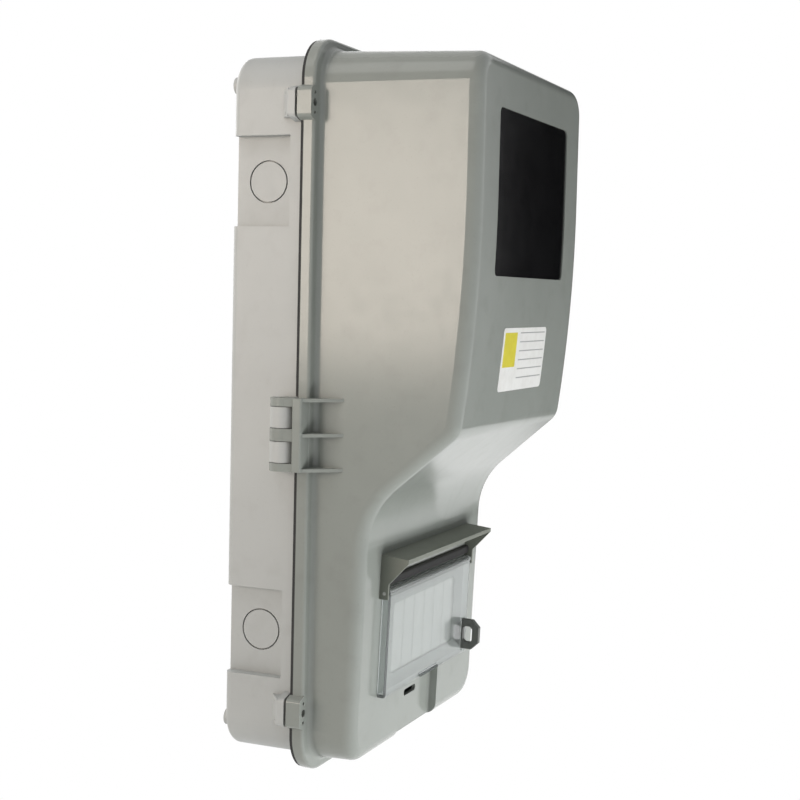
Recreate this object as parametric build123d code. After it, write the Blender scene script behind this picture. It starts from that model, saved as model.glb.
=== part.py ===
from build123d import *
import math
import os

# Frame: wall plane at Y = 0, front towards -Y, +Z up, origin midway between the wall screws.
# A depth is a distance from the wall, so a point at depth d lies at Y = -d.
# All sizes are in millimetres and degrees.

# Base tray
BASE_HALF_WIDTH = 109.0
BASE_HALF_HEIGHT = 218.0
BASE_CORNER = 22.0
BASE_WALL = 3.0
BASE_BACK_EDGE = 5.0
PAD_STANDOFF = 3.2
PAD_RADIUS = 5.4
WALL_HOLE_RADIUS = 3.0
WALL_HOLE_SIDE_INSET = 11.0
WALL_HOLE_END_INSET = 18.5
WALL_BOSS_HEIGHT = 6.0

# Knock-outs: sunk panels in the side walls, plain rings in the end walls
RECESS_DEPTH = 8.0
RECESS_HEIGHT = 55.5
RECESS_END_INSET = 78.0
RIM_STRIP = 9.2
KNOCKOUT_RADIUS = 12.75
KNOCKOUT_GROOVE = 0.9
KNOCKOUT_WEB = 1.2
KNOCKOUT_DEPTH = 24.6
END_KNOCKOUT_PITCH = 60.0
END_KNOCKOUT_STEPS = (-1, 0, 1)

# Seam between base and cover, closed by the gasket
SEAM_DEPTH = 53.6
SEAM_GAP = 2.4
GASKET_WIDTH = 3.6
GASKET_GROOVE_DEPTH = 2.6
GASKET_GAP = 0.4
GASKET_LEDGE = 1.6
GASKET_EDGE_INSET = 0.4
GASKET_HINGE_GAP = 0.6

# Cover flange and drafted housing
FLANGE_SIDE_OVERHANG = 5.5
FLANGE_END_OVERHANG = 9.0
FLANGE_CORNER = 26.0
FLANGE_THICKNESS = 7.2
FLANGE_EDGE = 2.0
FLANGE_ROOT = 3.2
HOUSING_SIDE_STEP = 8.0
HOUSING_END_STEP = 6.5
HOUSING_CORNER = 22.0
HOUSING_DRAFT = 2.0
HOUSING_EDGE = 8.0
COVER_WALL = 2.6

# Side profile of the housing, from the upper front down to the lower panel
FRONT_DEPTH = 163.7
BARREL_START_INSET = 86.5
BARREL_RADIUS = 1050.0
BROW_RISE = 137.5
BROW_RADIUS = 14.0
HOLLOW_RISE = 87.4
HOLLOW_RADIUS = 50.0
PANEL_DEPTH = 93.6
PANEL_MID_INSET = 72.5
PANEL_LEAN = 2.0

# Cover hinge on the left side
HINGE_STAND = 9.0
HINGE_DEPTH = 46.4
HINGE_TOP_Z = 8.4
HINGE_LENGTH = 44.6
HINGE_RADIUS = 8.0
END_KNUCKLE = 5.0
BASE_BARREL = 12.7
HINGE_SIDE_GAP = 0.4
HINGE_PIN_RADIUS = 2.5
HINGE_PIN_FIT = 0.05
HINGE_PIN_SINK = 0.4
LEAF_SWING_GAP = 1.0
LEAF_WIDTH = 6.2
LEAF_STAND = 6.5
LEAF_EDGE = 1.2
RIB_THICKNESS = 2.0
RIB_END_DEPTH = 81.5

# Closing bosses at the four corners
BOSS_SIDE_INSET = 0.5
BOSS_END_INSET = 32.0
BOSS_HALF_LENGTH = 8.4
BOSS_STAND = 4.9
BOSS_ROUND = 2.5
BOSS_END_SLOPE = 2.8
BOSS_JOG = 2.2
BOSS_GAP = 1.6
BASE_BOSS_DEPTH = 4.6
BASE_BOSS_GUSSET = 9.0
SEAL_HOLE_RADIUS = 1.0
SEAL_HOLE_PITCH = 6.0
COVER_SCREW_HEAD_RADIUS = 2.2
COVER_SCREW_HEAD = 2.4
COVER_SCREW_RADIUS = 1.5
COVER_SCREW_SINK = 2.0
INSERT_WALL = 1.1
SCREW_CLEARANCE = 0.15

# Screw driving slot, shared by every slotted screw
DRIVE_SLOT_WIDTH = 0.8
DRIVE_SLOT_DEPTH = 0.9

# Meter window in the upper front
WINDOW_SIDE_INSET = 37.5
WINDOW_TOP_INSET = 34.0
WINDOW_HEIGHT = 101.5
WINDOW_CORNER = 4.0
WINDOW_SETBACK = 0.7
WINDOW_CLEARANCE = 0.35
PANE_THICKNESS = 2.2
PANE_BORDER = 6.0
WINDOW_SEAL_THICKNESS = 0.8
WINDOW_FRAME_LAP = 1.5
WINDOW_FRAME_WIDTH = 12.0
WINDOW_FRAME_THICKNESS = 3.0
WINDOW_BOSS_RADIUS = 3.6
WINDOW_SCREW_RADIUS = 1.4
WINDOW_SCREW_HEAD_RADIUS = 2.7
WINDOW_SCREW_HEAD = 1.8
WINDOW_SCREW_TIP = 0.6
WINDOW_SCREW_STAND = 0.1

# Breaker aperture and the strip of break-out blanks that closes it
APERTURE_HALF_WIDTH = 54.0
APERTURE_HALF_HEIGHT = 23.0
APERTURE_CORNER = 3.0
STRIP_CLEARANCE = 0.3
STRIP_SETBACK = 0.8
STRIP_BORDER = 3.0
STRIP_BACK = 1.6
MODULE_WIDTH = 17.5
SCORE_WIDTH = 0.9
SCORE_DEPTH = 0.7

# Hood above the flap, measured out of and up the lower panel
HOOD_HALF_WIDTH = 76.0
HOOD_TOP_UP = 58.0
HOOD_FALL = 1.4
HOOD_REACH = 18.4
HOOD_LIP = 2.6
HOOD_FOOT_OUT = 5.8
HOOD_FOOT_TOP_UP = 39.6
HOOD_FOOT_UP = 29.8
HOOD_PLATE = 1.8
HOOD_BOSS_RADIUS = 3.4
HOOD_BOSS_X = 60.0
HOOD_BOSS_LENGTH = 9.0
HOOD_SCREW_RADIUS = 1.5
HOOD_SCREW_HEAD_RADIUS = 3.0
HOOD_SCREW_HEAD = 2.0
HOOD_SCREW_BITE = 6.0
HOOD_SEAL_THICKNESS = 3.0
HOOD_SEAL_HEIGHT = 5.4
HOOD_SEAL_GAP = 0.8
HOOD_SEAL_ROUND = 1.2

# Clear flap hung under the hood
FLAP_AXIS_OUT = 3.2
FLAP_AXIS_UP = 33.5
FLAP_ROLL_RADIUS = 2.7
FLAP_PIN_RADIUS = 1.1
FLAP_PIN_FIT = 0.05
FLAP_DROP = 67.5
FLAP_WALL = 1.8
FLAP_SIDE_GAP = 2.0
FLAP_PANEL_GAP = 0.5
FLAP_EDGE = 1.5
FLAP_GRIP_HALF_WIDTH = 16.0
FLAP_GRIP_OUT = 1.4
FLAP_GRIP_HEIGHT = 2.4

# Finger pocket from the flap down to the panel's lower edge, with a drain slot in its floor
POCKET_HALF_WIDTH = 34.0
POCKET_DEPTH = 6.5
POCKET_CORNER = 4.0
POCKET_EDGE = 1.5
DRAIN_HALF_WIDTH = 10.0
DRAIN_HEIGHT = 4.4
DRAIN_DROP = 15.0

# Sealing staple beside the flap's edge
STAPLE_X = 64.0
STAPLE_THICKNESS = 4.0
STAPLE_REACH = 18.6
STAPLE_HEIGHT = 21.0
STAPLE_UP = -19.0
STAPLE_RIM = 4.8
STAPLE_CHAMFER = 5.0
STAPLE_SLOT_GAP = 0.8
STAPLE_FIT = 0.1
CLIP_THICKNESS = 1.2
CLIP_BORDER = 4.0

# Meter plate on its posts
METER_PLATE_SIDE_INSET = 31.0
METER_PLATE_TOP_INSET = 18.0
METER_PLATE_HEIGHT = 182.0
METER_PLATE_THICKNESS = 3.0
METER_PLATE_CORNER = 6.0
METER_POST_SIDE_INSET = 12.0
METER_POST_END_INSET = 16.0
METER_POST_HEIGHT = 22.0
METER_SLOT_LENGTH = 34.0
METER_SLOT_RADIUS = 1.9
METER_SLOT_X = 40.0
METER_SLOT_STEPS = (-1, 0, 1)
POST_RADIUS = 5.0
PLATE_SCREW_RADIUS = 1.9
PLATE_SCREW_HEAD_RADIUS = 3.6
PLATE_SCREW_HEAD = 2.2
PLATE_SCREW_BITE = 10.0

# Top-hat rail for the breakers
RAIL_SIDE_INSET = 31.0
RAIL_HALF_WIDTH = 17.5
RAIL_CROWN_HALF_WIDTH = 13.5
RAIL_HEIGHT = 7.5
RAIL_SHEET = 1.0
RAIL_POST_INSET = 20.0
RAIL_POST_HEIGHT = 37.0
RAIL_POST_RADIUS = 6.5
RAIL_SLOT_LENGTH = 15.0
RAIL_SLOT_RADIUS = 3.1
RAIL_SLOT_PITCH = 25.0
RAIL_SLOT_STEPS = (-1, 0, 1)

# Neutral and earth terminal bars
BAR_HALF_LENGTH = 45.0
BAR_WIDTH = 9.0
BAR_THICKNESS = 6.5
BAR_HOLE_COUNT = 9
BAR_HOLE_PITCH = 7.6
BAR_HOLE_RADIUS = 2.2
BAR_SCREW_RADIUS = 1.6
BAR_SCREW_STAND = 1.6
BAR_FOOT_X = 41.0
BAR_FOOT_WIDTH = 7.0
BAR_FOOT_LENGTH = 15.0
BAR_FOOT_HEIGHT = 16.0
BAR_FOOT_CHEEK = 2.5
NEUTRAL_BAR_RISE = 50.0
EARTH_BAR_DROP = 42.0

# Modelling allowances
OVERLAP = 1.0
CUT_PAST = 2.0
FACING_FRONT = 0.3
FACING_ASIDE = 0.2
PLANE_SEARCH = 0.01

# Places derived from the sizes above
flange_half_width = BASE_HALF_WIDTH + FLANGE_SIDE_OVERHANG
flange_half_height = BASE_HALF_HEIGHT + FLANGE_END_OVERHANG
housing_half_width = flange_half_width - HOUSING_SIDE_STEP
housing_half_height = flange_half_height - HOUSING_END_STEP
wall_hole_x = BASE_HALF_WIDTH - WALL_HOLE_SIDE_INSET
wall_hole_z = BASE_HALF_HEIGHT - WALL_HOLE_END_INSET
recess_z = BASE_HALF_HEIGHT - RECESS_END_INSET
barrel_start_z = housing_half_height - BARREL_START_INSET
panel_mid_z = PANEL_MID_INSET - housing_half_height
brow_z = panel_mid_z + BROW_RISE
hollow_z = panel_mid_z + HOLLOW_RISE
hinge_x = -BASE_HALF_WIDTH - HINGE_STAND
leaf_out_x = hinge_x - LEAF_STAND
boss_x = flange_half_width - BOSS_SIDE_INSET
boss_out_x = flange_half_width + BOSS_STAND
boss_z = BASE_HALF_HEIGHT - BOSS_END_INSET
base_back = PAD_STANDOFF
base_floor = base_back + BASE_WALL
rim_depth = SEAM_DEPTH - SEAM_GAP / 2
flange_back = SEAM_DEPTH + SEAM_GAP / 2
flange_front = flange_back + FLANGE_THICKNESS
lug_back = flange_back - BOSS_JOG
base_boss_front = lug_back - BOSS_GAP
base_boss_back = base_boss_front - BASE_BOSS_DEPTH
pane_layer = COVER_WALL + WINDOW_SEAL_THICKNESS
frame_layer = pane_layer + PANE_THICKNESS
frame_inside = frame_layer + WINDOW_FRAME_THICKNESS
window_half_width = housing_half_width - WINDOW_SIDE_INSET
window_half_height = WINDOW_HEIGHT / 2
window_mid_z = housing_half_height - WINDOW_TOP_INSET - window_half_height
middle_knuckle = HINGE_LENGTH - 2 * (END_KNUCKLE + BASE_BARREL) - 4 * HINGE_SIDE_GAP
leaf_back = HINGE_DEPTH + HINGE_RADIUS + LEAF_SWING_GAP
leaf_front = leaf_back + LEAF_WIDTH
flap_half_width = HOOD_HALF_WIDTH - HOOD_PLATE - FLAP_SIDE_GAP
flap_front_out = FLAP_AXIS_OUT + FLAP_ROLL_RADIUS
flap_foot_up = FLAP_AXIS_UP - FLAP_DROP
hood_screw_up = HOOD_TOP_UP - HOOD_PLATE / 2 - HOOD_BOSS_RADIUS
staple_stem = STAPLE_HEIGHT - 2 * STAPLE_CHAMFER
pocket_top_up = flap_foot_up + FLAP_WALL
pocket_run = PANEL_MID_INSET + pocket_top_up + POCKET_CORNER + CUT_PAST
meter_plate_half_width = BASE_HALF_WIDTH - METER_PLATE_SIDE_INSET
meter_plate_half_height = METER_PLATE_HEIGHT / 2
meter_plate_mid_z = BASE_HALF_HEIGHT - METER_PLATE_TOP_INSET - meter_plate_half_height
meter_post_x = meter_plate_half_width - METER_POST_SIDE_INSET
meter_plate_back = base_floor + METER_POST_HEIGHT
rail_half_length = BASE_HALF_WIDTH - RAIL_SIDE_INSET
rail_post_x = rail_half_length - RAIL_POST_INSET
rail_back = base_floor + RAIL_POST_HEIGHT
bar_back = base_floor + BAR_FOOT_HEIGHT
bar_front = bar_back + BAR_THICKNESS
neutral_bar_z = panel_mid_z + NEUTRAL_BAR_RISE
earth_bar_z = panel_mid_z - EARTH_BAR_DROP
lean_sin = math.sin(math.radians(PANEL_LEAN))
lean_cos = math.cos(math.radians(PANEL_LEAN))
corners = [(sx, sz) for sx in (-1, 1) for sz in (-1, 1)]

# Planes of the lower panel: seen from the front, and from the side as (out, up)
panel_front = Plane(
    origin=(0, -PANEL_DEPTH, panel_mid_z), x_dir=(1, 0, 0), z_dir=(0, -lean_cos, -lean_sin))
panel_side = Plane(origin=panel_front.origin, x_dir=panel_front.z_dir, z_dir=(-1, 0, 0))


# General helpers

def at_depth(depth):
    """Plane parallel to the wall at a distance from it, facing the front."""
    return Plane.XZ.offset(depth)


def slab(outline, depth, thickness, taper=0.0):
    """Extrude an outline drawn in X and Z from a depth towards the front."""
    return extrude(at_depth(depth) * outline, thickness, dir=(0, -1, 0), taper=taper)


def post(x, z, depth, length, radius):
    """Round form along the depth direction."""
    return slab(Pos(x, z) * Circle(radius), depth, length)


def rise(outline, low, high):
    """Extrude an outline drawn in X and Y between two heights."""
    return extrude(Pos(0, 0, low) * outline, high - low, dir=(0, 0, 1))


def across(profile, half_width):
    """Extrude a profile drawn on the panel (out, up) to both sides of the middle."""
    return extrude(panel_side * profile, half_width, both=True)


def on_panel(outline, out, thickness):
    """Extrude an outline drawn on the panel (x, up), starting at a height over it."""
    return extrude(panel_front.offset(out) * outline, thickness, dir=panel_front.z_dir)


def rounded(half_width, half_height, corner):
    """Rounded rectangle given by its half sizes."""
    return RectangleRounded(2 * half_width, 2 * half_height, corner)


def polygon(*points):
    """Face with straight sides."""
    return make_face(Polyline(*points, close=True))


def group(solids):
    """Separate solids kept together as one node."""
    return Compound(children=list(solids))


def screw(head_radius, head_height, shank_radius, shank_length):
    """Slotted screw along +Z: the head's underside at the origin, the shank below it."""
    head = extrude(Circle(head_radius), head_height)
    shank = extrude(Circle(shank_radius), -shank_length)
    slot = Pos(0, 0, head_height) * Box(2 * head_radius, DRIVE_SLOT_WIDTH, 2 * DRIVE_SLOT_DEPTH)
    return head + shank - slot


def facing_front(x, z, depth):
    """Placement with +Z towards the front."""
    return at_depth(depth).location * Pos(x, z)


def facing_back(x, z, depth):
    """Placement with +Z towards the wall."""
    return facing_front(x, z, depth) * Rot(180, 0, 0)


# Housing of the cover

def barrel_depth(z):
    """Depth of the upper front, which bows back below the start of its barrel."""
    drop = max(barrel_start_z - z, 0)
    return FRONT_DEPTH - BARREL_RADIUS + math.sqrt(BARREL_RADIUS**2 - drop**2)


def side_profile():
    """Closed side view of the housing: upper front, brow, ramp and lower panel."""
    top = housing_half_height + HOUSING_CORNER
    brow_depth = barrel_depth(brow_z)
    bow_z = (barrel_start_z + brow_z) / 2
    lean = math.tan(math.radians(PANEL_LEAN))
    hollow_depth = PANEL_DEPTH + (hollow_z - panel_mid_z) * lean
    foot_depth = PANEL_DEPTH - (top + panel_mid_z) * lean
    front = Line((-FRONT_DEPTH, top), (-FRONT_DEPTH, barrel_start_z))
    bow = ThreePointArc(
        (-FRONT_DEPTH, barrel_start_z), (-barrel_depth(bow_z), bow_z), (-brow_depth, brow_z))
    rest = Polyline(
        (-brow_depth, brow_z), (-hollow_depth, hollow_z), (-foot_depth, -top), (0, -top), (0, top),
        (-FRONT_DEPTH, top))
    face = make_face(Curve() + front + bow + rest)
    for place, radius in (
            ((-brow_depth, brow_z, 0), BROW_RADIUS), ((-hollow_depth, hollow_z, 0), HOLLOW_RADIUS)):
        face = fillet(face.vertices().sort_by_distance(place)[0], radius)
    return face


profile = side_profile()


def profile_block(inset):
    """The side profile, drawn in by an inset, carried across the whole width."""
    face = offset(profile, -inset) if inset else profile
    return extrude(Plane.YZ * face, flange_half_width, both=True)


def front_layer(outer, inner):
    """Sheet between two insets that follows the housing's front."""
    return profile_block(outer) - profile_block(inner)


def housing(inset):
    """Drafted housing with rounded front edges; an inset gives the space inside its wall."""
    outline = rounded(housing_half_width - inset, housing_half_height - inset, HOUSING_CORNER - inset)
    body = slab(outline, flange_back, FRONT_DEPTH, taper=HOUSING_DRAFT) & profile_block(inset)
    fronts = ShapeList(f for f in body.faces() if f.normal_at().Y < -FACING_FRONT)
    sides = ShapeList(f for f in body.faces() if abs(f.normal_at().Y) < FACING_ASIDE)
    return fillet(set(fronts.edges()) & set(sides.edges()), HOUSING_EDGE - inset)


# Seam and gasket

def rim_half_sizes(grow):
    """Half sizes and corner of the base rim's middle line, grown on every side."""
    inset = BASE_WALL / 2 - grow
    return BASE_HALF_WIDTH - inset, BASE_HALF_HEIGHT - inset, BASE_CORNER - inset


def flange_half_sizes(inset):
    """Half sizes and corner of the flange's outline, drawn in on every side."""
    return flange_half_width - inset, flange_half_height - inset, FLANGE_CORNER - inset


def rim_ring(half_width, depth, thickness):
    """Ring of rectangular section along the base rim."""
    return slab(
        rounded(*rim_half_sizes(half_width)) - rounded(*rim_half_sizes(-half_width)), depth, thickness)


# Hinge between base and cover

def hinge_spans():
    """Low and high ends of the cover's knuckles and of the base's barrels."""
    spans = []
    top = HINGE_TOP_Z
    for length in (END_KNUCKLE, BASE_BARREL, middle_knuckle, BASE_BARREL, END_KNUCKLE):
        spans.append((top - length, top))
        top -= length + HINGE_SIDE_GAP
    return spans[0::2], spans[1::2]


cover_spans, base_spans = hinge_spans()
hinge_low = cover_spans[-1][0]
hinge_high = cover_spans[0][1]


def on_hinge(radius, low, high):
    """Round form on the hinge axis."""
    return rise(Pos(hinge_x, -HINGE_DEPTH) * Circle(radius), low, high)


def cover_hinge():
    """Cover's half of the hinge: leaf on the flange, knuckles and gusset ribs."""
    root_x = OVERLAP - housing_half_width
    leaf = rise(
        polygon((leaf_out_x, -leaf_front), (leaf_out_x, -leaf_back), (-flange_half_width, -leaf_back),
                (-flange_half_width, -flange_back), (root_x, -flange_back), (root_x, -leaf_front)),
        hinge_low, hinge_high)
    half = fillet(leaf.edges().filter_by(Axis.Z).sort_by(Axis.X)[0:2], LEAF_EDGE)
    for low, high in cover_spans:
        web = polygon(
            (leaf_out_x + LEAF_EDGE, -leaf_back - LEAF_EDGE), (hinge_x - HINGE_RADIUS, -HINGE_DEPTH),
            (hinge_x, -HINGE_DEPTH), (hinge_x, -leaf_back - LEAF_EDGE))
        half += on_hinge(HINGE_RADIUS, low, high) + rise(web, low, high)
    rib = polygon((leaf_out_x + LEAF_EDGE, -leaf_front + OVERLAP), (root_x, -RIB_END_DEPTH),
                  (root_x, -leaf_front + OVERLAP))
    hinge_mid = (hinge_low + hinge_high - RIB_THICKNESS) / 2
    for low in (hinge_low, hinge_mid, hinge_high - RIB_THICKNESS):
        half += rise(rib, low, low + RIB_THICKNESS)
    return half - on_hinge(HINGE_PIN_RADIUS + HINGE_PIN_FIT, hinge_low, hinge_high)


def base_hinge():
    """Base's half of the hinge: barrels on short arms from the side wall."""
    half = []
    for low, high in base_spans:
        arm = polygon(
            (hinge_x, -rim_depth), (hinge_x, -HINGE_DEPTH + HINGE_RADIUS),
            (OVERLAP - BASE_HALF_WIDTH, -HINGE_DEPTH + HINGE_RADIUS + BASE_WALL),
            (OVERLAP - BASE_HALF_WIDTH, -rim_depth))
        half.append(on_hinge(HINGE_RADIUS, low, high) + rise(arm, low, high))
    bore = on_hinge(HINGE_PIN_RADIUS + HINGE_PIN_FIT, hinge_low, hinge_high)
    return [barrel - bore for barrel in half]


# Closing bosses

def boss_outline(sx, sz, inner_x):
    """Closing boss seen from the front: a lug with sloping ends."""
    low = boss_z - BOSS_HALF_LENGTH
    high = boss_z + BOSS_HALF_LENGTH
    face = polygon(
        (sx * inner_x, sz * (low - BOSS_END_SLOPE)), (sx * boss_out_x, sz * low),
        (sx * boss_out_x, sz * high), (sx * inner_x, sz * (high + BOSS_END_SLOPE)))
    return fillet(face.vertices().sort_by_distance((sx * boss_out_x, sz * boss_z, 0))[:2], BOSS_ROUND)


def seal_holes(sx, sz, depth, length):
    """Two holes for the sealing wire beside the screw of a boss."""
    first, second = [
        post(sx * boss_x, sz * boss_z + step, depth, length, SEAL_HOLE_RADIUS)
        for step in (-SEAL_HOLE_PITCH, SEAL_HOLE_PITCH)]
    return first + second


def cover_lug(sx, sz):
    """Cover's half of a closing boss."""
    return slab(
        boss_outline(sx, sz, flange_half_width - FLANGE_EDGE), lug_back, flange_front - lug_back)


def cover_lug_holes(sx, sz):
    """Sunk screw hole and sealing-wire holes through the cover's half of a boss."""
    sink = flange_front - COVER_SCREW_SINK - COVER_SCREW_HEAD
    x, z = sx * boss_x, sz * boss_z
    shank = post(x, z, lug_back, sink - lug_back, COVER_SCREW_RADIUS + SCREW_CLEARANCE)
    head = post(x, z, sink, flange_front - sink, COVER_SCREW_HEAD_RADIUS + SCREW_CLEARANCE)
    return shank + head + seal_holes(sx, sz, lug_back, flange_front - lug_back)


def base_lug(sx, sz):
    """Base's half of a closing boss, carried by a sloping gusset."""
    inner_x = BASE_HALF_WIDTH - OVERLAP
    lug = slab(boss_outline(sx, sz, inner_x), base_boss_back, BASE_BOSS_DEPTH)
    gusset = rise(
        polygon((sx * inner_x, -base_boss_back), (sx * boss_out_x, -base_boss_back),
                (sx * inner_x, -base_boss_back + BASE_BOSS_GUSSET)),
        sz * boss_z - BOSS_HALF_LENGTH, sz * boss_z + BOSS_HALF_LENGTH)
    return lug + gusset


def base_lug_holes(sx, sz):
    """Seat of the threaded insert and sealing-wire holes in the base's half of a boss."""
    reach = BASE_BOSS_DEPTH + BASE_BOSS_GUSSET
    seat = post(sx * boss_x, sz * boss_z, base_boss_back, BASE_BOSS_DEPTH, COVER_SCREW_RADIUS + INSERT_WALL)
    return seat + seal_holes(sx, sz, base_boss_front - reach, reach)


def insert(sx, sz):
    """Threaded insert for a closing screw."""
    ring = Circle(COVER_SCREW_RADIUS + INSERT_WALL) - Circle(COVER_SCREW_RADIUS)
    return slab(Pos(sx * boss_x, sz * boss_z) * ring, base_boss_back, BASE_BOSS_DEPTH)


def make_gasket():
    """Gasket keyed into the cover's groove, its flat lip running out to the flange's edge."""
    back = rim_depth + GASKET_GAP
    lip = rounded(*flange_half_sizes(GASKET_EDGE_INSET)) - rounded(*rim_half_sizes(GASKET_WIDTH / 2))
    ring = slab(lip, back, flange_back - back)
    hinge_length = hinge_high - hinge_low + 2 * GASKET_HINGE_GAP
    hinge_place = Pos(-flange_half_width, (hinge_low + hinge_high) / 2)
    ring -= slab(hinge_place * Rectangle(FLANGE_SIDE_OVERHANG, hinge_length), back, SEAM_GAP)
    for sx, sz in corners:
        ring -= cover_lug(sx, sz)
    return ring + rim_ring(GASKET_WIDTH / 2, back, flange_back - back + GASKET_GROOVE_DEPTH)


def cover_screw(sx, sz):
    """Captive closing screw, drawn back inside the cover's half of its boss."""
    sink = flange_front - COVER_SCREW_SINK - COVER_SCREW_HEAD
    form = screw(COVER_SCREW_HEAD_RADIUS, COVER_SCREW_HEAD, COVER_SCREW_RADIUS, sink - lug_back)
    return facing_front(sx * boss_x, sz * boss_z, sink) * form


# Meter window

def window_prism(grow, corner):
    """Window shape, grown on every side, carried straight through the front wall."""
    outline = Pos(0, window_mid_z) * rounded(window_half_width + grow, window_half_height + grow, corner)
    return slab(outline, PANEL_DEPTH, FRONT_DEPTH)


def window_bosses():
    """Centres of the bosses that carry the window frame."""
    reach = window_half_width + PANE_BORDER + WINDOW_BOSS_RADIUS
    return [(sx * reach, window_mid_z + sz * window_half_height / 2) for sx, sz in corners]


def window_posts(radius):
    """Round forms through the frame at every window boss."""
    return [post(x, z, PANEL_DEPTH, FRONT_DEPTH, radius) for x, z in window_bosses()]


def make_window():
    """Bowed pane: raised field in the opening, thinner border behind the wall."""
    field = front_layer(WINDOW_SETBACK, frame_layer) & window_prism(-WINDOW_CLEARANCE, WINDOW_CORNER)
    border = front_layer(pane_layer, frame_layer) & window_prism(PANE_BORDER, WINDOW_CORNER + PANE_BORDER)
    return field + border


def make_window_seal():
    """Flat seal between the pane's border and the wall."""
    ring = window_prism(PANE_BORDER, WINDOW_CORNER + PANE_BORDER) - window_prism(0, WINDOW_CORNER)
    return front_layer(COVER_WALL, pane_layer) & ring


def make_window_frame():
    """Clamping frame behind the pane."""
    grow = PANE_BORDER + WINDOW_FRAME_WIDTH
    ring = window_prism(grow, WINDOW_CORNER + grow) - window_prism(WINDOW_FRAME_LAP, WINDOW_CORNER)
    frame = front_layer(frame_layer, frame_inside) & ring
    for hole in window_posts(WINDOW_SCREW_RADIUS + SCREW_CLEARANCE):
        frame -= hole
    return frame


def make_window_screws():
    """Screws from the inside through the clamping frame."""
    length = frame_inside - COVER_WALL - WINDOW_SCREW_TIP
    form = screw(WINDOW_SCREW_HEAD_RADIUS, WINDOW_SCREW_HEAD, WINDOW_SCREW_RADIUS, length)
    return group(
        facing_back(x, z, barrel_depth(z) - frame_inside - WINDOW_SCREW_STAND) * form
        for x, z in window_bosses())


# Breaker aperture, hood, flap and staple on the lower panel

def aperture(grow, corner):
    """Breaker aperture seen from the front, grown on every side."""
    return rounded(APERTURE_HALF_WIDTH + grow, APERTURE_HALF_HEIGHT + grow, corner)


def make_strip():
    """Strip of break-out blanks, scored at the width of one module."""
    field = on_panel(
        aperture(-STRIP_CLEARANCE, APERTURE_CORNER - STRIP_CLEARANCE), -COVER_WALL,
        COVER_WALL - STRIP_SETBACK)
    border = on_panel(aperture(STRIP_BORDER, APERTURE_CORNER), -COVER_WALL - STRIP_BACK, STRIP_BACK)
    strip = field + border
    count = int(2 * APERTURE_HALF_WIDTH / MODULE_WIDTH)
    for step in range(count + 1):
        score = Pos((step - count / 2) * MODULE_WIDTH, 0) * Rectangle(SCORE_WIDTH, 2 * APERTURE_HALF_HEIGHT)
        strip -= on_panel(score, -STRIP_SETBACK - SCORE_DEPTH, SCORE_DEPTH)
    return strip


def hood_screw_posts(radius, out, length):
    """Round forms at the hood's two screws."""
    return [
        on_panel(Pos(side * HOOD_BOSS_X, hood_screw_up) * Circle(radius), out, length)
        for side in (-1, 1)]


def make_hood():
    """Hood: sloping roof with a front lip, two cheeks that carry the flap's pin, screw bosses."""
    roof_front = HOOD_TOP_UP - HOOD_FALL
    body = across(
        polygon((0, HOOD_TOP_UP), (HOOD_REACH, roof_front), (HOOD_REACH, roof_front - HOOD_LIP),
                (HOOD_FOOT_OUT, HOOD_FOOT_TOP_UP), (HOOD_FOOT_OUT, HOOD_FOOT_UP), (0, HOOD_FOOT_UP)),
        HOOD_HALF_WIDTH)
    space = across(
        polygon((0, HOOD_TOP_UP - HOOD_PLATE), (HOOD_REACH - HOOD_PLATE, roof_front - HOOD_PLATE),
                (HOOD_REACH - HOOD_PLATE, roof_front - HOOD_LIP), (HOOD_REACH, roof_front - HOOD_LIP),
                (HOOD_REACH, HOOD_FOOT_UP), (0, HOOD_FOOT_UP)),
        HOOD_HALF_WIDTH - HOOD_PLATE)
    hood = body - space
    for boss in hood_screw_posts(HOOD_BOSS_RADIUS, 0, HOOD_BOSS_LENGTH):
        hood += boss
    for pilot in hood_screw_posts(HOOD_SCREW_RADIUS, 0, HOOD_SCREW_BITE):
        hood -= pilot
    return hood - on_flap_axis(FLAP_PIN_RADIUS + FLAP_PIN_FIT, HOOD_HALF_WIDTH)


def make_hood_screws():
    """Screws from inside the cover into the hood's bosses."""
    form = screw(
        HOOD_SCREW_HEAD_RADIUS, HOOD_SCREW_HEAD, HOOD_SCREW_RADIUS, COVER_WALL + HOOD_SCREW_BITE)
    inside = panel_front.offset(-COVER_WALL).location
    return group(
        inside * Pos(side * HOOD_BOSS_X, hood_screw_up) * Rot(180, 0, 0) * form for side in (-1, 1))


def make_hood_seal():
    """Soft strip on the panel that closes the gap above the flap's rolled edge."""
    middle_up = FLAP_AXIS_UP + FLAP_ROLL_RADIUS + HOOD_SEAL_GAP + HOOD_SEAL_HEIGHT / 2
    outline = Pos(0, middle_up) * Rectangle(2 * (HOOD_HALF_WIDTH - HOOD_PLATE), HOOD_SEAL_HEIGHT)
    strip = on_panel(outline, 0, HOOD_SEAL_THICKNESS)
    return fillet(strip.faces().sort_by(Axis.Y)[0].edges().filter_by(Axis.X), HOOD_SEAL_ROUND)


def on_flap_axis(radius, half_width):
    """Round form on the flap's axis."""
    return across(Pos(FLAP_AXIS_OUT, FLAP_AXIS_UP) * Circle(radius), half_width)


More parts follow.
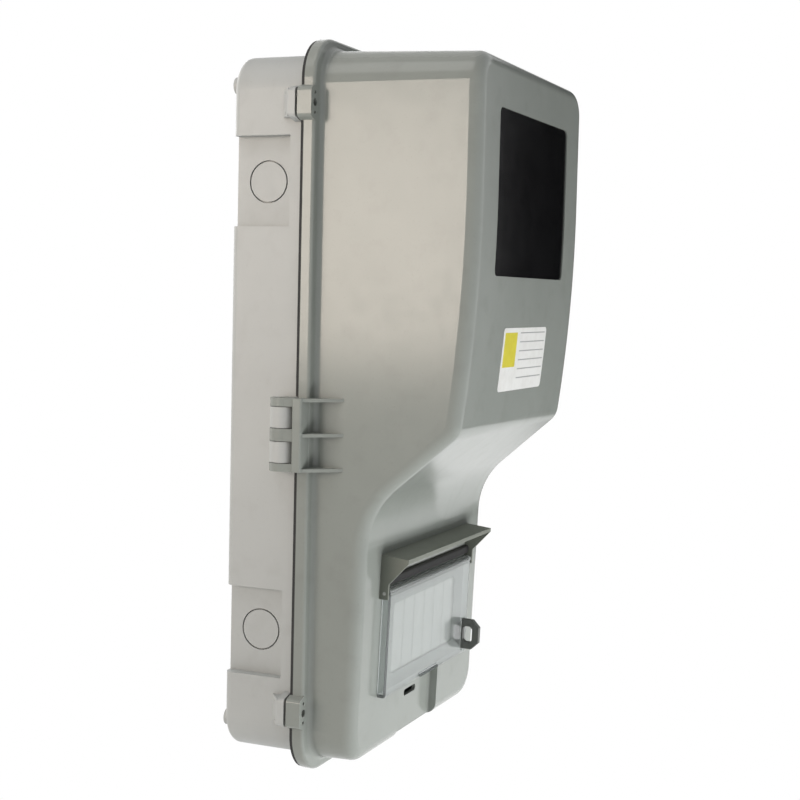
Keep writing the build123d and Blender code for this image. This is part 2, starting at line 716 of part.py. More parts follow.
def staple_profile():
    """Staple seen from the side: an eight-sided eye on a stem that passes the panel."""
    low = STAPLE_UP - STAPLE_HEIGHT / 2
    high = STAPLE_UP + STAPLE_HEIGHT / 2
    tip = STAPLE_REACH - STAPLE_CHAMFER
    tail = -COVER_WALL - 2 * CLIP_THICKNESS
    outer = polygon(
        (tail, low + STAPLE_CHAMFER), (0, low + STAPLE_CHAMFER), (STAPLE_CHAMFER, low), (tip, low),
        (STAPLE_REACH, low + STAPLE_CHAMFER), (STAPLE_REACH, high - STAPLE_CHAMFER), (tip, high),
        (STAPLE_CHAMFER, high), (0, high - STAPLE_CHAMFER), (tail, high - STAPLE_CHAMFER))
    eye_out = (flap_front_out + STAPLE_SLOT_GAP + STAPLE_REACH - STAPLE_RIM) / 2
    eye_width = STAPLE_REACH - STAPLE_RIM - flap_front_out - STAPLE_SLOT_GAP
    eye = Pos(eye_out, STAPLE_UP) * Rectangle(eye_width, STAPLE_HEIGHT - 2 * STAPLE_RIM)
    return outer - chamfer(eye.vertices(), eye_width / 4)


def staple_sweep():
    """Top and bottom, on the panel, of the slot that lets the flap swing past the staple."""
    low = FLAP_AXIS_UP - STAPLE_UP + STAPLE_HEIGHT / 2
    reach = STAPLE_REACH - FLAP_AXIS_OUT
    far = max(math.hypot(reach, low - STAPLE_CHAMFER), math.hypot(reach - STAPLE_CHAMFER, low))
    return STAPLE_UP + STAPLE_HEIGHT / 2 + STAPLE_SLOT_GAP, FLAP_AXIS_UP - far - STAPLE_SLOT_GAP


def make_flap():
    """Clear flap: shallow tray with a rolled hinge edge, a grip and a slot for the staple."""
    tray = across(
        polygon((FLAP_PANEL_GAP, flap_foot_up), (flap_front_out, flap_foot_up),
                (flap_front_out, FLAP_AXIS_UP), (FLAP_PANEL_GAP, FLAP_AXIS_UP)),
        flap_half_width)
    face = tray.faces().sort_by(Axis.Y)[0]
    rim = face.edges().sort_by(Axis.Z)[:-1]
    tray = fillet(rim, FLAP_EDGE)
    floor_up = flap_foot_up + FLAP_WALL
    front_inside = flap_front_out - FLAP_WALL
    roll_up = FLAP_AXIS_UP - FLAP_ROLL_RADIUS
    grip_up = flap_foot_up + FLAP_EDGE
    space = across(
        polygon((FLAP_PANEL_GAP, floor_up), (front_inside, floor_up), (front_inside, roll_up),
                (FLAP_PANEL_GAP, roll_up)),
        flap_half_width - FLAP_WALL)
    grip = across(
        polygon((flap_front_out, grip_up), (flap_front_out + FLAP_GRIP_OUT, grip_up),
                (flap_front_out, grip_up + FLAP_GRIP_HEIGHT)),
        FLAP_GRIP_HALF_WIDTH)
    top, low = staple_sweep()
    slot = Pos(STAPLE_X, (top + low) / 2) * Rectangle(STAPLE_THICKNESS + 2 * STAPLE_SLOT_GAP, top - low)
    flap = tray - space + grip + on_flap_axis(FLAP_ROLL_RADIUS, flap_half_width)
    flap -= on_panel(slot, flap_front_out - FLAP_WALL - CUT_PAST, FLAP_WALL + 2 * CUT_PAST)
    return flap - on_flap_axis(FLAP_PIN_RADIUS + FLAP_PIN_FIT, flap_half_width)


def make_clip():
    """Spring plate that grips the staple's stem behind the panel."""
    half_width = STAPLE_THICKNESS / 2
    plate = Rectangle(2 * (half_width + CLIP_BORDER), staple_stem + 2 * CLIP_BORDER)
    hole = Rectangle(STAPLE_THICKNESS + 2 * STAPLE_FIT, staple_stem + 2 * STAPLE_FIT)
    return on_panel(Pos(STAPLE_X, STAPLE_UP) * (plate - hole), -COVER_WALL - CLIP_THICKNESS, CLIP_THICKNESS)


def pocket(grow):
    """Finger pocket under the flap's lower edge, open downwards; grown to give its wall."""
    outline = Pos(0, pocket_top_up - pocket_run / 2) * rounded(
        POCKET_HALF_WIDTH + grow, pocket_run / 2 + grow, POCKET_CORNER + grow)
    hollow = on_panel(outline, -POCKET_DEPTH - grow, POCKET_DEPTH + CUT_PAST)
    return fillet(hollow.faces().sort_by(Axis.Y)[-1].edges(), POCKET_EDGE + grow)


def drain_slot():
    """Slot through the floor of the finger pocket."""
    outline = Pos(0, pocket_top_up - DRAIN_DROP) * SlotOverall(2 * DRAIN_HALF_WIDTH, DRAIN_HEIGHT)
    return on_panel(outline, -POCKET_DEPTH - COVER_WALL - CUT_PAST, COVER_WALL + 2 * CUT_PAST)


# Cover

def make_cover():
    """Front cover with flange, meter housing, ramp, lower panel, hinge half and bosses."""
    plate = rounded(*flange_half_sizes(0))
    outside = housing(0)
    cover = slab(plate, flange_back, FLANGE_THICKNESS) + outside
    cover = fillet(flange_step(cover).outer_wire().edges(), FLANGE_EDGE)
    cover = fillet(flange_step(cover).inner_wires()[0].edges(), FLANGE_ROOT)
    cover -= housing(COVER_WALL) - slab(plate, flange_back, FLANGE_THICKNESS)
    ledge = -GASKET_WIDTH / 2 - GASKET_LEDGE
    cover -= slab(rounded(*rim_half_sizes(ledge)), flange_back, FLANGE_THICKNESS)
    cover += cover_hinge()
    cover -= rim_ring(GASKET_WIDTH / 2, flange_back, GASKET_GROOVE_DEPTH)
    for sx, sz in corners:
        cover = cover + cover_lug(sx, sz) - cover_lug_holes(sx, sz)
    cover -= window_prism(0, WINDOW_CORNER)
    for boss in window_posts(WINDOW_BOSS_RADIUS):
        cover += boss & front_layer(OVERLAP, frame_layer)
    for pilot in window_posts(WINDOW_SCREW_RADIUS):
        cover -= pilot & front_layer(COVER_WALL, frame_layer)
    cover = cover + pocket(COVER_WALL).intersect(outside) - pocket(0) - drain_slot()
    cover -= on_panel(aperture(0, APERTURE_CORNER), -COVER_WALL - CUT_PAST, COVER_WALL + 2 * CUT_PAST)
    stem = Pos(STAPLE_X, STAPLE_UP) * Rectangle(
        STAPLE_THICKNESS + 2 * STAPLE_FIT, staple_stem + 2 * STAPLE_FIT)
    cover -= on_panel(stem, -COVER_WALL - CUT_PAST, COVER_WALL + 2 * CUT_PAST)
    clearance = HOOD_SCREW_RADIUS + SCREW_CLEARANCE
    for hole in hood_screw_posts(clearance, -COVER_WALL - CUT_PAST, COVER_WALL + 2 * CUT_PAST):
        cover -= hole
    return cover


def flange_step(form):
    """Front face of the flange around the housing."""
    level = form.faces().filter_by(Axis.Y)
    level = level.filter_by_position(Axis.Y, -flange_front - PLANE_SEARCH, -flange_front + PLANE_SEARCH)
    return level.sort_by(SortBy.AREA)[-1]


# Base tray

def recess_box(sx, sz, wall):
    """Sunk panel in a side wall; a wall thickness gives its inner skin."""
    inner_x = BASE_HALF_WIDTH - RECESS_DEPTH - wall
    width = RECESS_DEPTH + wall + CUT_PAST
    height = RECESS_HEIGHT + 2 * wall
    length = rim_depth - RIM_STRIP + wall
    outline = Pos(sx * (inner_x + width / 2), sz * recess_z) * Rectangle(width, height)
    return slab(outline, 0, length)


def knockout_ring(plane):
    """Groove that leaves a thin web around a knock-out."""
    ring = Circle(KNOCKOUT_RADIUS + KNOCKOUT_GROOVE / 2) - Circle(KNOCKOUT_RADIUS - KNOCKOUT_GROOVE / 2)
    return extrude(plane * ring, KNOCKOUT_WEB - BASE_WALL)


def knockout_planes():
    """Outer wall planes of every knock-out, facing out."""
    side_x = BASE_HALF_WIDTH - RECESS_DEPTH
    planes = [
        Plane(origin=(sx * side_x, -KNOCKOUT_DEPTH, sz * recess_z), z_dir=(sx, 0, 0)) for sx, sz in corners]
    for sz in (-1, 1):
        for step in END_KNOCKOUT_STEPS:
            origin = (step * END_KNOCKOUT_PITCH, -KNOCKOUT_DEPTH, sz * BASE_HALF_HEIGHT)
            planes.append(Plane(origin=origin, z_dir=(0, 0, sz)))
    return planes


def meter_posts():
    """Centres of the posts under the meter plate."""
    reach = meter_plate_half_height - METER_POST_END_INSET
    return [(sx * meter_post_x, meter_plate_mid_z + sz * reach) for sx, sz in corners]


def rail_posts():
    """Centres of the posts under the rail."""
    return [(sx * rail_post_x, panel_mid_z) for sx in (-1, 1)]


def wall_holes():
    """Centres of the holes for the wall screws."""
    return [(sx * wall_hole_x, sz * wall_hole_z) for sx, sz in corners]


def make_base():
    """Base tray with sunk knock-out panels, wall bosses, posts, hinge half and bosses."""
    outline = rounded(BASE_HALF_WIDTH, BASE_HALF_HEIGHT, BASE_CORNER)
    base = slab(outline, base_back, rim_depth - base_back)
    base = fillet(base.faces().sort_by(Axis.Y)[-1].edges(), BASE_BACK_EDGE)
    cavity = slab(rounded(*rim_half_sizes(-BASE_WALL / 2)), base_floor, rim_depth)
    for sx, sz in corners:
        cavity -= recess_box(sx, sz, BASE_WALL)
    base -= cavity
    for sx, sz in corners:
        base = base - recess_box(sx, sz, 0) + base_lug(sx, sz) - base_lug_holes(sx, sz)
    for barrel in base_hinge():
        base += barrel
    for plane in knockout_planes():
        base -= knockout_ring(plane)
    for x, z in wall_holes():
        base += post(x, z, 0, base_floor + WALL_BOSS_HEIGHT, PAD_RADIUS)
        base -= post(x, z, 0, base_floor + WALL_BOSS_HEIGHT, WALL_HOLE_RADIUS)
    for x, z in meter_posts():
        base += post(x, z, base_back + OVERLAP, meter_plate_back - base_back - OVERLAP, POST_RADIUS)
        base -= post(x, z, meter_plate_back - PLATE_SCREW_BITE, PLATE_SCREW_BITE, PLATE_SCREW_RADIUS)
    for x, z in rail_posts():
        base += post(x, z, base_back + OVERLAP, rail_back - base_back - OVERLAP, RAIL_POST_RADIUS)
        base -= post(x, z, rail_back - PLATE_SCREW_BITE, PLATE_SCREW_BITE, PLATE_SCREW_RADIUS)
    return base


# Fittings inside the base

def make_meter_plate():
    """Meter plate with a column of fixing slots on either side and a cross slot."""
    outline = Pos(0, meter_plate_mid_z) * rounded(
        meter_plate_half_width, meter_plate_half_height, METER_PLATE_CORNER)
    for step in METER_SLOT_STEPS:
        for side in (-1, 1):
            place = Pos(side * METER_SLOT_X, meter_plate_mid_z + step * meter_plate_half_height / 2)
            outline -= place * SlotOverall(METER_SLOT_LENGTH, 2 * METER_SLOT_RADIUS)
    plate = slab(outline, meter_plate_back, METER_PLATE_THICKNESS)
    for x, z in meter_posts():
        plate -= post(x, z, meter_plate_back, METER_PLATE_THICKNESS, PLATE_SCREW_RADIUS + SCREW_CLEARANCE)
    return plate


def plate_screws(places, seat, thickness):
    """Screws through a plate or rail into the posts below."""
    form = screw(PLATE_SCREW_HEAD_RADIUS, PLATE_SCREW_HEAD, PLATE_SCREW_RADIUS, thickness + PLATE_SCREW_BITE)
    return group(facing_front(x, z, seat + thickness) * form for x, z in places)


def make_rail():
    """Top-hat rail with its crown on the posts and its brims to the front."""
    inner = RAIL_CROWN_HALF_WIDTH - RAIL_SHEET
    front = rail_back + RAIL_HEIGHT
    section = polygon(
        (-rail_back, RAIL_CROWN_HALF_WIDTH), (-front + RAIL_SHEET, RAIL_CROWN_HALF_WIDTH),
        (-front + RAIL_SHEET, RAIL_HALF_WIDTH), (-front, RAIL_HALF_WIDTH), (-front, inner),
        (-rail_back - RAIL_SHEET, inner), (-rail_back - RAIL_SHEET, -inner), (-front, -inner),
        (-front, -RAIL_HALF_WIDTH), (-front + RAIL_SHEET, -RAIL_HALF_WIDTH),
        (-front + RAIL_SHEET, -RAIL_CROWN_HALF_WIDTH), (-rail_back, -RAIL_CROWN_HALF_WIDTH))
    rail = Pos(0, 0, panel_mid_z) * extrude(Plane.YZ * section, rail_half_length, both=True)
    for step in RAIL_SLOT_STEPS:
        slot = Pos(step * RAIL_SLOT_PITCH, panel_mid_z) * SlotOverall(RAIL_SLOT_LENGTH, 2 * RAIL_SLOT_RADIUS)
        rail -= slab(slot, rail_back, RAIL_SHEET)
    for x, z in rail_posts():
        rail -= post(x, z, rail_back, RAIL_SHEET, PLATE_SCREW_RADIUS + SCREW_CLEARANCE)
    return rail


def bar_places():
    """X of every wire hole in a terminal bar."""
    return [(step - (BAR_HOLE_COUNT - 1) / 2) * BAR_HOLE_PITCH for step in range(BAR_HOLE_COUNT)]


def terminal_bar(z):
    """Terminal bar with wire holes from below and screw holes from the front."""
    bar = slab(Pos(0, z) * Rectangle(2 * BAR_HALF_LENGTH, BAR_WIDTH), bar_back, BAR_THICKNESS)
    middle = bar_back + BAR_THICKNESS / 2
    for x in bar_places():
        wire = Pos(x, -middle) * Circle(BAR_HOLE_RADIUS)
        bar -= rise(wire, z - BAR_WIDTH / 2, z + BAR_WIDTH / 2)
        bar -= post(x, z, middle, BAR_THICKNESS, BAR_SCREW_RADIUS + HINGE_PIN_FIT)
    return bar


def bar_screws(z):
    """Clamping screws of a terminal bar."""
    middle = bar_back + BAR_THICKNESS / 2
    length = bar_front + BAR_SCREW_STAND - middle
    pin = extrude(Circle(BAR_SCREW_RADIUS), length)
    slot = Pos(0, 0, length) * Box(2 * BAR_SCREW_RADIUS, DRIVE_SLOT_WIDTH, 2 * DRIVE_SLOT_DEPTH)
    return group(facing_front(x, z, middle) * (pin - slot) for x in bar_places())


def bar_feet(z):
    """Two insulating feet that cradle the ends of a terminal bar."""
    feet = []
    for side in (-1, 1):
        outline = Pos(side * BAR_FOOT_X, z) * Rectangle(BAR_FOOT_WIDTH, BAR_FOOT_LENGTH)
        channel = Pos(side * BAR_FOOT_X, z) * Rectangle(BAR_FOOT_WIDTH, BAR_WIDTH)
        foot = slab(outline, base_floor, BAR_FOOT_HEIGHT + BAR_FOOT_CHEEK)
        feet.append(foot - slab(channel, bar_back, BAR_FOOT_CHEEK))
    return group(feet)


nodes = {
    "base_tray": make_base(),
    "threaded_inserts": group(insert(sx, sz) for sx, sz in corners),
    "front_cover": make_cover(),
    "cover_gasket": make_gasket(),
    "hinge_pin": on_hinge(HINGE_PIN_RADIUS, hinge_low + HINGE_PIN_SINK, hinge_high - HINGE_PIN_SINK),
    "cover_screws": group(cover_screw(sx, sz) for sx, sz in corners),
    "meter_window": make_window(),
    "window_seal": make_window_seal(),
    "window_frame": make_window_frame(),
    "window_screws": make_window_screws(),
    "blanking_strip": make_strip(),
    "breaker_hood": make_hood(),
    "hood_screws": make_hood_screws(),
    "hood_seal": make_hood_seal(),
    "breaker_flap": make_flap(),
    "flap_pin": on_flap_axis(FLAP_PIN_RADIUS, HOOD_HALF_WIDTH),
    "seal_staple": Pos(STAPLE_X, 0, 0) * across(staple_profile(), STAPLE_THICKNESS / 2),
    "staple_clip": make_clip(),
    "meter_plate": make_meter_plate(),
    "meter_plate_screws": plate_screws(meter_posts(), meter_plate_back, METER_PLATE_THICKNESS),
    "din_rail": make_rail(),
    "din_rail_screws": plate_screws(rail_posts(), rail_back, RAIL_SHEET),
    "neutral_bar": terminal_bar(neutral_bar_z),
    "neutral_bar_screws": bar_screws(neutral_bar_z),
    "neutral_bar_feet": bar_feet(neutral_bar_z),
    "earth_bar": terminal_bar(earth_bar_z),
    "earth_bar_screws": bar_screws(earth_bar_z),
    "earth_bar_feet": bar_feet(earth_bar_z),
}

os.makedirs("parts", exist_ok=True)
for name, shape in nodes.items():
    export_step(shape, f"parts/{name}.step")
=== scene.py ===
"""Looks of a wall-mounted meter distribution box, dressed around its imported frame."""

import logging
import math
from abc import ABC, abstractmethod
from dataclasses import dataclass
from enum import Enum

import bmesh
import bpy
from mathutils import Matrix, Vector


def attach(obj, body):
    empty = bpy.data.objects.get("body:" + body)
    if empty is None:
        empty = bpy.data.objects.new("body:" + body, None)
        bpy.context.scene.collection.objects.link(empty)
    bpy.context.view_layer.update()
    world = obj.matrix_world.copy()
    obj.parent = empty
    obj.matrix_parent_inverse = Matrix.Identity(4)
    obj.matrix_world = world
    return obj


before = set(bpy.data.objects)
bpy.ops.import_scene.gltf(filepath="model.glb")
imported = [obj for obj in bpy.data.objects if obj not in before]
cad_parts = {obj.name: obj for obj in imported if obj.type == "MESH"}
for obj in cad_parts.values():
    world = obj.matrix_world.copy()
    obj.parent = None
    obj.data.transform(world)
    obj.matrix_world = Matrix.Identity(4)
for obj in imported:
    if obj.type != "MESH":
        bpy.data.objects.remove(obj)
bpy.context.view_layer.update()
LOG = logging.getLogger("distribution_box")

Colour = tuple[float, float, float]
Point = tuple[float, float, float]
Band = tuple[float, float]
WHITE: Colour = (1.0, 1.0, 1.0)


def shade(red: int, green: int, blue: int) -> Colour:
    """Turn a display colour into the linear values that shaders take.

    Args:
        red: Display red, 0 to 255.
        green: Display green, 0 to 255.
        blue: Display blue, 0 to 255.

    Returns:
        The linear colour.
    """
    def linear(value: int) -> float:
        """Linear value of one display channel, by the standard display curve."""
        part = value / 255
        return part / 12.92 if part <= 0.04045 else ((part + 0.055) / 1.055) ** 2.4

    return linear(red), linear(green), linear(blue)


class Body(Enum):
    """Rigid bodies of the box."""

    BASE = "base"
    COVER = "cover"
    FLAP = "flap"


class Slot(Enum):
    """Material slots of the record for new pieces; no piece here takes one."""

    LABEL = "plate_plastic"


class Print(Enum):
    """Printed areas of the front label, as material indices."""

    STOCK = 0
    FIELD = 1
    RULE = 2


class Tree:
    """A material's node tree with short ways to add and join nodes."""

    # Places of the share and the two colours, and of the colour result, among a Mix node's sockets.
    BLEND_INPUTS = (0, 6, 7)
    BLEND_RESULT = 2
    CORNER_SHADE_SAMPLES = 6

    def __init__(self, name: str) -> None:
        """Start an empty material.

        Args:
            name: Name of the material.
        """
        self.material = bpy.data.materials.new(name)
        self.material.use_nodes = True
        self.nodes = self.material.node_tree.nodes
        self.links = self.material.node_tree.links
        self.nodes.clear()
        self.output = self.nodes.new("ShaderNodeOutputMaterial")
        spot = self.nodes.new("ShaderNodeTexCoord")
        self.place = spot.outputs["Object"]
        self.facing = spot.outputs["Normal"]

    def add(self, kind: str, **values: object) -> bpy.types.Node:
        """Add a node and set its properties or input values.

        Args:
            kind: Blender's node type.
            **values: Properties, or inputs with spaces written as underscores.

        Returns:
            The new node.
        """
        node = self.nodes.new(kind)
        for key, value in values.items():
            label = key.replace("_", " ")
            if label in node.inputs:
                self.join(value, node.inputs[label])
            else:
                setattr(node, key, value)
        return node

    def join(self, value: object, socket: bpy.types.NodeSocket) -> None:
        """Link an output to a socket, or set the socket's own value.

        Args:
            value: Output socket, number or colour.
            socket: Input that takes it.
        """
        if isinstance(value, bpy.types.NodeSocket):
            self.links.new(value, socket)
        elif isinstance(value, tuple) and socket.type == "RGBA":
            socket.default_value = (*value, 1.0)
        else:
            socket.default_value = value

    def noise(self, size: float, detail: float = 3.0, roughness: float = 0.5) -> bpy.types.NodeSocket:
        """Noise over the object whose features have a real size.

        Args:
            size: Feature size in metres.
            detail: Octaves of finer noise.
            roughness: Share of the finer octaves.

        Returns:
            The noise's value output.
        """
        node = self.add(
            "ShaderNodeTexNoise", Vector=self.place, Scale=1 / size, Detail=detail, Roughness=roughness)
        return node.outputs["Fac"]

    def spread(self, value: bpy.types.NodeSocket, low: float, high: float,
               start: float = 0.3, end: float = 0.7) -> bpy.types.NodeSocket:
        """Map a value from a start and end onto a low and high result.

        Args:
            value: Input between 0 and 1.
            low: Result at the start.
            high: Result at the end.
            start: Input that gives the low result.
            end: Input that gives the high result.

        Returns:
            The mapped output.
        """
        node = self.add("ShaderNodeMapRange", Value=value)
        for label, amount in (("From Min", start), ("From Max", end), ("To Min", low), ("To Max", high)):
            node.inputs[label].default_value = amount
        return node.outputs["Result"]

    def blend(self, share: bpy.types.NodeSocket, first: object, second: object) -> bpy.types.NodeSocket:
        """Blend two colours by a share.

        Args:
            share: 0 for the first colour, 1 for the second.
            first: Colour or output.
            second: Colour or output.

        Returns:
            The blended colour output.
        """
        node = self.add("ShaderNodeMix", data_type="RGBA")
        for value, number in zip((share, first, second), self.BLEND_INPUTS):
            self.join(value, node.inputs[number])
        return node.outputs[self.BLEND_RESULT]

    def upward(self) -> bpy.types.NodeSocket:
        """How far the surface looks up, from -1 to 1."""
        return self.add("ShaderNodeSeparateXYZ", Vector=self.facing).outputs["Z"]

    def corners(self, reach: float) -> bpy.types.NodeSocket:
        """How far a point lies in a corner between walls; the mouldings paint shade by it.

        Args:
            reach: Distance in metres within which walls count.

        Returns:
            An output that is 1 in the open and falls towards 0 in a corner.
        """
        node = self.add("ShaderNodeAmbientOcclusion", samples=self.CORNER_SHADE_SAMPLES, Distance=reach)
        return node.outputs["AO"]

    def bump(self, height: bpy.types.NodeSocket, depth: float, strength: float,
             under: bpy.types.NodeSocket | None = None) -> bpy.types.NodeSocket:
        """Relief from a height value.

        Args:
            height: Height between 0 and 1.
            depth: Real depth of the relief in metres.
            strength: Share of the relief that shows.
            under: Normal of a coarser relief below, if any.

        Returns:
            The normal output.
        """
        node = self.add("ShaderNodeBump", Height=height, Distance=depth, Strength=strength)
        if under is not None:
            self.join(under, node.inputs["Normal"])
        return node.outputs["Normal"]

    def surface(self, **values: object) -> bpy.types.NodeSocket:
        """Add a principled surface and show it.

        Args:
            **values: Inputs of the surface, with spaces written as underscores.

        Returns:
            The surface's output.
        """
        node = self.add("ShaderNodeBsdfPrincipled", **values)
        self.show(node.outputs["BSDF"])
        return node.outputs["BSDF"]

    def show(self, shader: bpy.types.NodeSocket) -> None:
        """Make a shader the material's surface."""
        self.links.new(shader, self.output.inputs["Surface"])

    def mix(self, share: object, first: bpy.types.NodeSocket,
            second: bpy.types.NodeSocket) -> bpy.types.NodeSocket:
        """Mix two shaders and show the result.

        Args:
            share: 0 for the first shader, 1 for the second.
            first: Shader output.
            second: Shader output.

        Returns:
            The mixed shader's output.
        """
        node = self.add("ShaderNodeMixShader")
        for value, socket in zip((share, first, second), node.inputs):
            self.join(value, socket)
        self.show(node.outputs[0])
        return node.outputs[0]


@dataclass(frozen=True)
class Moulding:
    """Moulded plastic with a spark-eroded grain, clouding, smears, painted shade in corners and a settled
    film on upward faces.

    Lengths are in metres. A band gives the values between which a mark fades in.
    """

    name: str
    colour: Colour
    cloud: Colour
    # Colour of the smears and specks of dirt, and of the painted shade in corners.
    dust_and_shade: Colour
    film: Colour = shade(176, 176, 170)
    roughness: float = 0.42
    specular: float = 0.5
    cloud_size: float = 0.05
    smear_size: float = 0.018
    smear_share: float = 0.16
    smear_band: Band = (0.54, 0.76)
    speck_size: float = 0.0015
    speck_share: float = 0.12
    speck_band: Band = (0.62, 0.78)
    # Reach, strength and band of the painted shade in corners.
    corner_shade_reach: float = 0.006
    corner_shade_share: float = 0.55
    corner_shade_band: Band = (0.25, 0.8)
    film_share: float = 0.12
    film_rise: float = 0.3
    film_band: Band = (0.6, 0.97)
    gloss_patches: float = 6.0
    gloss_drop: float = 0.02
    gloss_rise: float = 0.03
    wave: float = 0.03
    wave_depth: float = 0.0004
    wave_strength: float = 0.05
    grain: float = 0.0008
    grain_depth: float = 0.00003
    grain_strength: float = 0.3

    def material(self) -> bpy.types.Material:
        """Build the material."""
        tree = Tree(self.name)
        tint, up = self.tint(tree), tree.upward()
        tint = tree.blend(tree.spread(up, 0.0, self.film_share, *self.film_band), tint, self.film)
        patches = tree.spread(
            tree.noise(self.cloud_size / self.gloss_patches),
            self.roughness - self.gloss_drop, self.roughness + self.gloss_rise)
        haze = tree.spread(up, 0.0, self.film_rise, *self.film_band)
        gloss = tree.add("ShaderNodeMath", operation="ADD")
        for value, socket in zip((patches, haze), gloss.inputs):
            tree.join(value, socket)
        sink = tree.bump(tree.noise(self.wave, detail=1.0), self.wave_depth, self.wave_strength)
        grain = tree.bump(
            tree.noise(self.grain, detail=2.0), self.grain_depth, self.grain_strength, under=sink)
        tree.surface(
            Base_Color=tint, Roughness=gloss.outputs[0], Normal=grain, Specular_IOR_Level=self.specular)
        return tree.material

    def tint(self, tree: Tree) -> bpy.types.NodeSocket:
        """Colour with its clouds, smears, specks and the painted shade in corners.

        Args:
            tree: Node tree of the material.

        Returns:
            The colour output.
        """
        clouds = tree.spread(tree.noise(self.cloud_size, detail=4.0), 0.0, 1.0)
        smears = tree.spread(tree.noise(self.smear_size, detail=3.0), 0.0, self.smear_share, *self.smear_band)
        specks = tree.spread(tree.noise(self.speck_size, detail=2.0), 0.0, self.speck_share, *self.speck_band)
        # Painted shade: the colour darkens where walls close in, by an ambient-occlusion mask.
        corners = tree.spread(tree.corners(self.corner_shade_reach), self.corner_shade_share, 0.0, *self.corner_shade_band)
        tint = tree.blend(clouds, self.colour, self.cloud)
        for marks in (smears, specks, corners):
            tint = tree.blend(marks, tint, self.dust_and_shade)
        return tint


@dataclass(frozen=True)
class SmokedPane:
    """Dark smoked sheet, nearly closed to the eye, with faint waves and wiping marks."""

    name: str
    colour: Colour
    smear: Colour
    smear_size: float = 0.04
    transmission: float = 0.3
    refraction: float = 1.49
    roughness: float = 0.1
    mark_size: float = 0.012
    mark_rise: float = 0.03
    wave: float = 0.06
    wave_depth: float = 0.0004
    wave_strength: float = 0.012

    def material(self) -> bpy.types.Material:
        """Build the material."""
        tree = Tree(self.name)
        streaks = tree.noise(self.mark_size, detail=5.0, roughness=0.65)
        marks = tree.spread(streaks, self.roughness, self.roughness + self.mark_rise)
        waves = tree.bump(tree.noise(self.wave, detail=1.0), self.wave_depth, self.wave_strength)
        tint = tree.blend(tree.spread(tree.noise(self.smear_size), 0.0, 1.0), self.colour, self.smear)
        tree.surface(
            Base_Color=tint, Roughness=marks, Normal=waves, Transmission_Weight=self.transmission,
            IOR=self.refraction)
        return tree.material


@dataclass(frozen=True)
class ClearMoulding:
    """Clear moulded plastic that lets lamplight through, with flow waves and fine scuffs."""

    name: str
    colour: Colour
    smear: Colour
    passed: Colour
    depth: Colour
    density: float = 40.0
    smear_size: float = 0.05
    transmission: float = 0.94
    refraction: float = 1.49
    roughness: float = 0.05
    scuff_size: float = 0.004
    scuff_rise: float = 0.1
    wave: float = 0.03
    wave_depth: float = 0.0005
    wave_strength: float = 0.1

    def material(self) -> bpy.types.Material:
        """Build the material."""
        tree = Tree(self.name)
        scratches = tree.noise(self.scuff_size, detail=6.0, roughness=0.7)
        scuffs = tree.spread(scratches, self.roughness, self.roughness + self.scuff_rise)
        waves = tree.bump(tree.noise(self.wave, detail=1.0), self.wave_depth, self.wave_strength)
        tint = tree.blend(tree.spread(tree.noise(self.smear_size), 0.0, 1.0), self.colour, self.smear)
        clear = tree.surface(
            Base_Color=tint, Roughness=scuffs, Normal=waves, Transmission_Weight=self.transmission,
            IOR=self.refraction)
        lit = tree.add("ShaderNodeBsdfTransparent", Color=self.passed)
        path = tree.add("ShaderNodeLightPath")
        for kind in ("Is Diffuse Ray", "Is Shadow Ray"):
            clear = tree.mix(path.outputs[kind], clear, lit.outputs[0])
        body = tree.add("ShaderNodeVolumeAbsorption", Color=self.depth, Density=self.density)
        tree.links.new(body.outputs[0], tree.output.inputs["Volume"])
        return tree.material


@dataclass(frozen=True)
class PlatedMetal:
    """Plated or bare metal with drawn lines and dull patches."""

    name: str
    colour: Colour
    dull: Colour
    patch_size: float = 0.006
    roughness: float = 0.32
    gloss_size: float = 0.003
    gloss_drop: float = 0.08
    gloss_rise: float = 0.14
    line: float = 0.0006
    line_depth: float = 0.00003
    line_strength: float = 0.4

    def material(self) -> bpy.types.Material:
        """Build the material."""
        tree = Tree(self.name)
        patches = tree.spread(tree.noise(self.patch_size, detail=4.0), 0.0, 1.0)
        tint = tree.blend(patches, self.colour, self.dull)
        gloss = tree.spread(
            tree.noise(self.gloss_size), self.roughness - self.gloss_drop, self.roughness + self.gloss_rise)
        lines = tree.bump(tree.noise(self.line, detail=2.0), self.line_depth, self.line_strength)
        tree.surface(Base_Color=tint, Roughness=gloss, Normal=lines, Metallic=1.0)
        return tree.material


@dataclass(frozen=True)
class LabelStock:
    """Printed film with a soft sheen, a slight unevenness and handling marks."""

    name: str
    colour: Colour
    worn: Colour
    wear_size: float = 0.009
    wear_band: Band = (0.4, 0.75)
    gloss_size: float = 0.005
    gloss_range: Band = (0.3, 0.42)
    film_size: float = 0.004
    film_depth: float = 0.00004
    film_strength: float = 0.25

    def material(self) -> bpy.types.Material:
        """Build the material."""
        tree = Tree(self.name)
        handling = tree.noise(self.wear_size, detail=5.0, roughness=0.65)
        wear = tree.spread(handling, 0.0, 1.0, *self.wear_band)
        gloss = tree.spread(tree.noise(self.gloss_size), *self.gloss_range)
        film = tree.bump(tree.noise(self.film_size, detail=2.0), self.film_depth, self.film_strength)
        tree.surface(Base_Color=tree.blend(wear, self.colour, self.worn), Roughness=gloss, Normal=film)
        return tree.material


